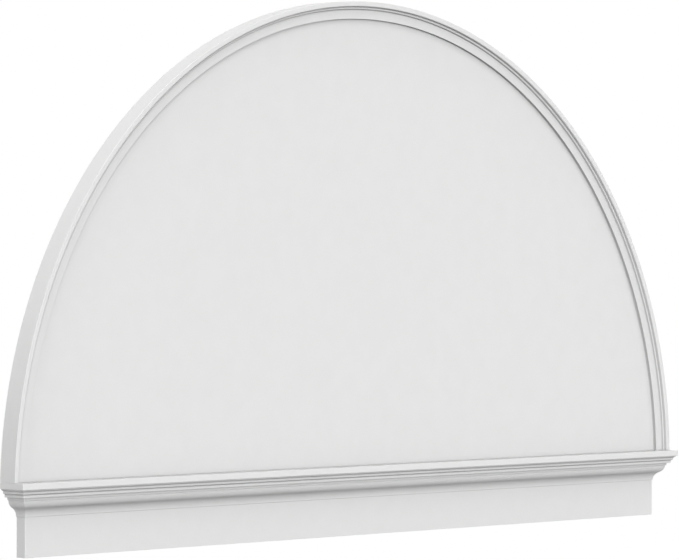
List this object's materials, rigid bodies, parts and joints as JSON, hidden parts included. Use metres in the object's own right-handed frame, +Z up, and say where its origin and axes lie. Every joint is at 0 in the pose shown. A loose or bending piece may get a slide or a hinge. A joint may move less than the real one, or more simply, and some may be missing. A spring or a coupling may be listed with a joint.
{
  "type": "half round pediment",
  "caption": "Half round pediment for over a door or window: a plain sunk panel in an arched moulding, standing on a straight crown trim with returned ends.",
  "frame": {"origin": "centre of the arch's circle on the flat back, which lies on the wall; it is one inch below the trim's top", "axes": "+X to the right along the trim, +Y into the wall, +Z up; the front faces -Y"},
  "size_m": [2.0828, 0.0698, 1.1684],
  "materials": {
    "half_round_primer": "white primer on moulded urethane, satin, fine even orange peel",
    "bottom_trim_primer": "white primer on moulded urethane, satin, fine even orange peel"
  },
  "bodies": {
    "root": {"half_round": "half_round_primer", "bottom_trim": "bottom_trim_primer"}
  },
  "joints": []
}
